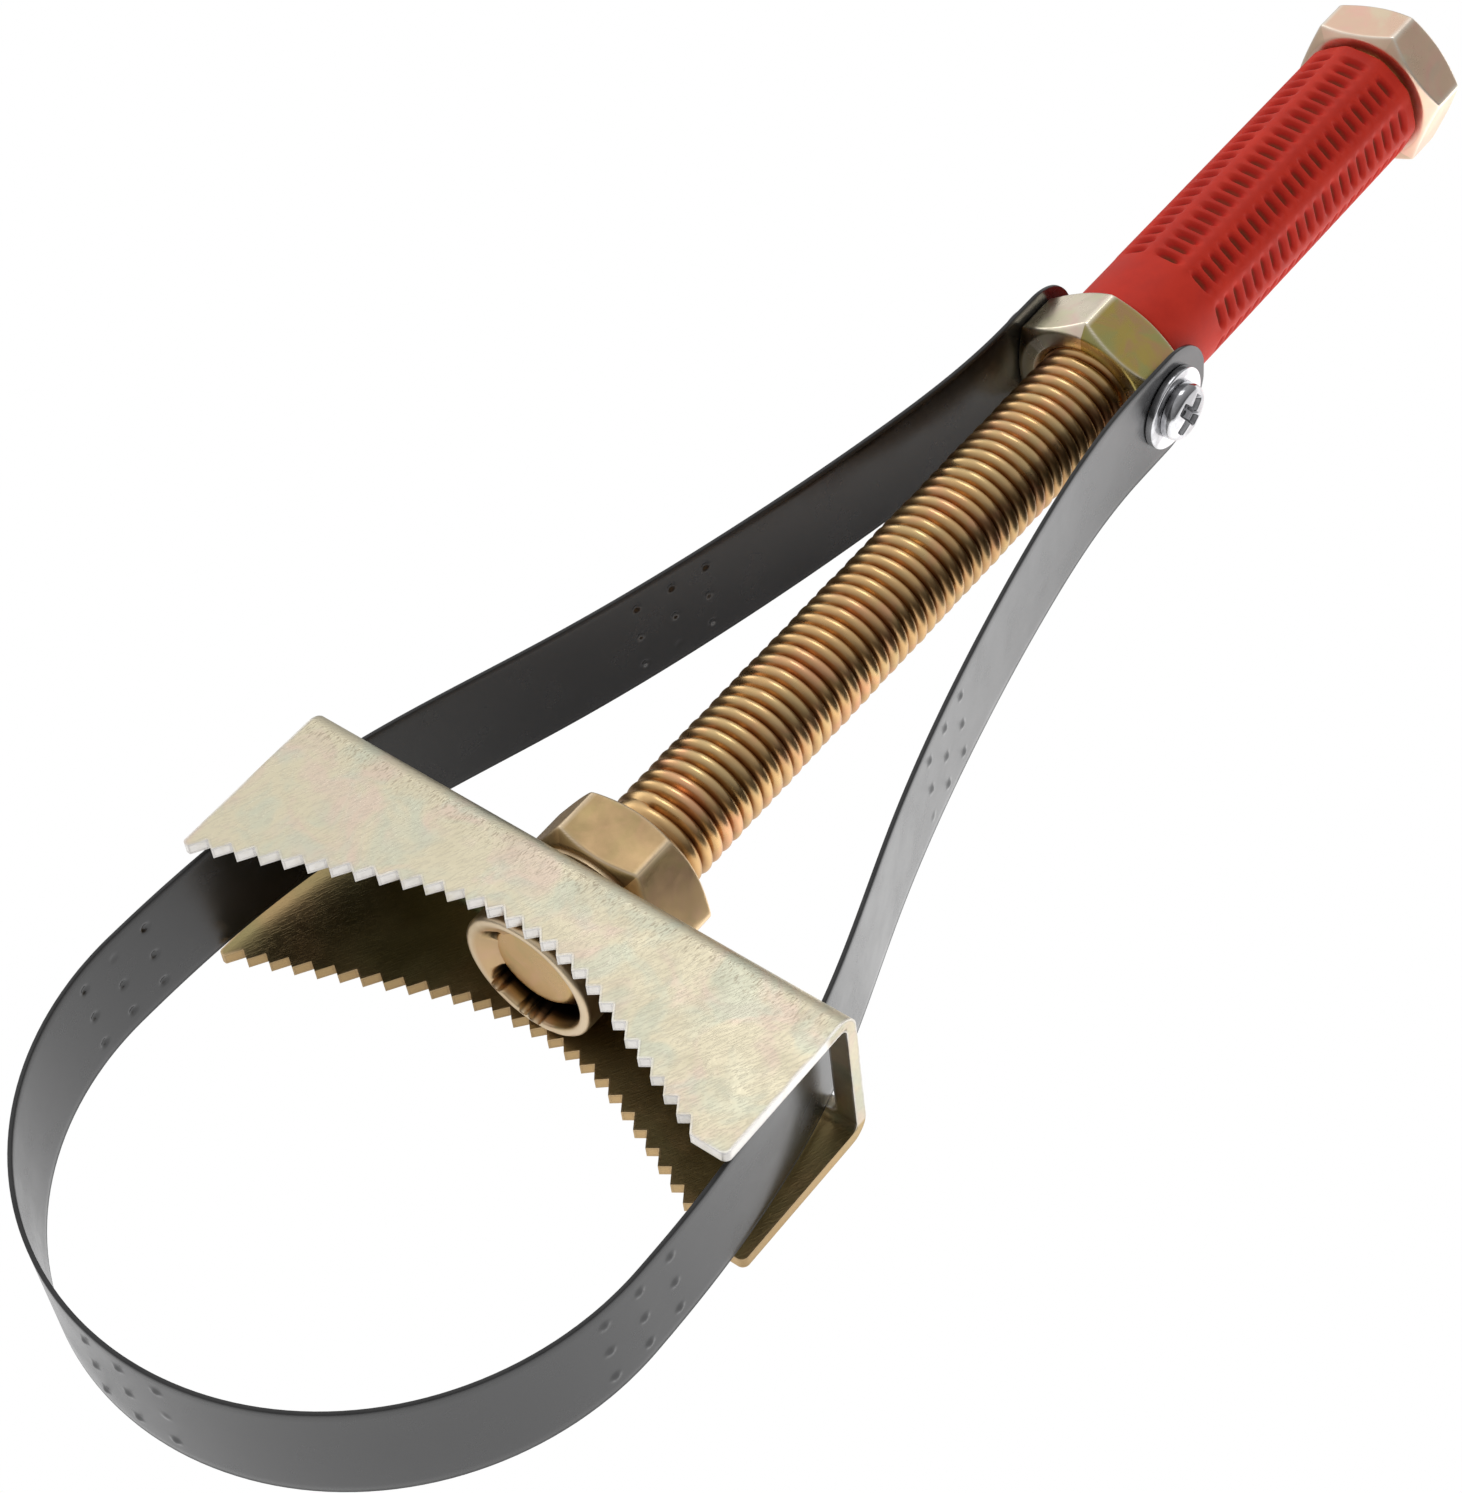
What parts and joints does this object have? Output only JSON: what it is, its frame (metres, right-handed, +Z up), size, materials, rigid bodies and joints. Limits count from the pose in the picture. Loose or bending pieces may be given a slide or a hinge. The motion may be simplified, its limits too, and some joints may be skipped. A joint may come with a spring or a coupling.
{
  "type": "oil filter strap wrench",
  "caption": "Oil filter wrench: a steel band loops out of a toothed jaw and is tightened by a nut on a threaded rod turned by its grip.",
  "frame": {"origin": "the middle of the band loop at rest, where the oil filter's axis goes; the threaded rod's axis passes through it and the outer back face of the jaw's web is at x = 33.9 mm", "axes": "+X along the rod from the band loop towards the grip, +Y along the jaw, +Z up across the band's width"},
  "size_m": [0.2272, 0.07, 0.0208],
  "materials": {
    "yellow_zinc_sheet": "yellow zinc plated, satin",
    "yellow_zinc_thread": "yellow zinc plated, gloss",
    "yellow_zinc_nut": "yellow zinc plated, gloss",
    "black_band_steel": "blackened spring steel, semi-gloss",
    "bright_zinc": "bright zinc plated",
    "red_grip": "soft satin red"
  },
  "bodies": {
    "jaw": {"bracket_jaw": "yellow_zinc_sheet", "strap_band": "black_band_steel"},
    "handle": {"threaded_rod": "yellow_zinc_thread", "retaining_cap": "yellow_zinc_nut", "shoulder_nut": "yellow_zinc_nut", "grip_sleeve": "red_grip", "end_nut": "yellow_zinc_nut"},
    "collar": {"collar_nut": "yellow_zinc_nut", "strap_washer_left": "bright_zinc", "strap_washer_right": "bright_zinc", "strap_screw_left": "bright_zinc", "strap_screw_right": "bright_zinc"}
  },
  "joints": [
    {"name": "handle_turn", "type": "hinge", "parent": "jaw", "child": "handle", "pos_m": [0.0339, 0, 0], "axis": [1, 0, 0], "range_deg": [0, 15840]},
    {"name": "collar_travel", "type": "slide", "parent": "jaw", "child": "collar", "axis": [-1, 0, 0], "range_m": [0, 0.077], "deforming": ["strap_band"]}
  ],
  "couplings": [
    {"joint": "collar_travel", "follows": "handle_turn", "m_per_rad": 0.00027852}
  ]
}
